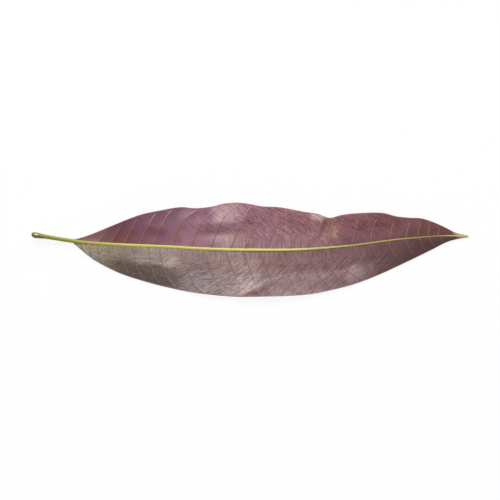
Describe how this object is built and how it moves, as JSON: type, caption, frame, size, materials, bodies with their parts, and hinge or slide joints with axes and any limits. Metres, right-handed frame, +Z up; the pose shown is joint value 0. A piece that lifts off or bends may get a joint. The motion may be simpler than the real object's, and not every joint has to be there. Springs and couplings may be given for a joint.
{
  "type": "dried leaf",
  "caption": "Long, narrow dried leaf with a wavy blade, a raised midrib on its upturned underside and a short stalk with a swollen end.",
  "frame": {"origin": "centre of the leaf's box in plan, on the surface it lies on", "axes": "+X along the leaf from the stalk's end to the tip, +Y across the blade, +Z up from the surface, out of the side that shows the raised midrib"},
  "size_m": [0.246, 0.0528, 0.0072],
  "materials": {
    "blade": "dry leaf tissue with a soft waxy sheen, mauve purple with grey-olive bloom near the base",
    "midrib_and_stalk": "smooth, slightly waxy, yellow-green",
    "side_veins": "smooth fine ridges, olive-yellow"
  },
  "bodies": {
    "root": {"leaf": "blade"}
  },
  "joints": []
}
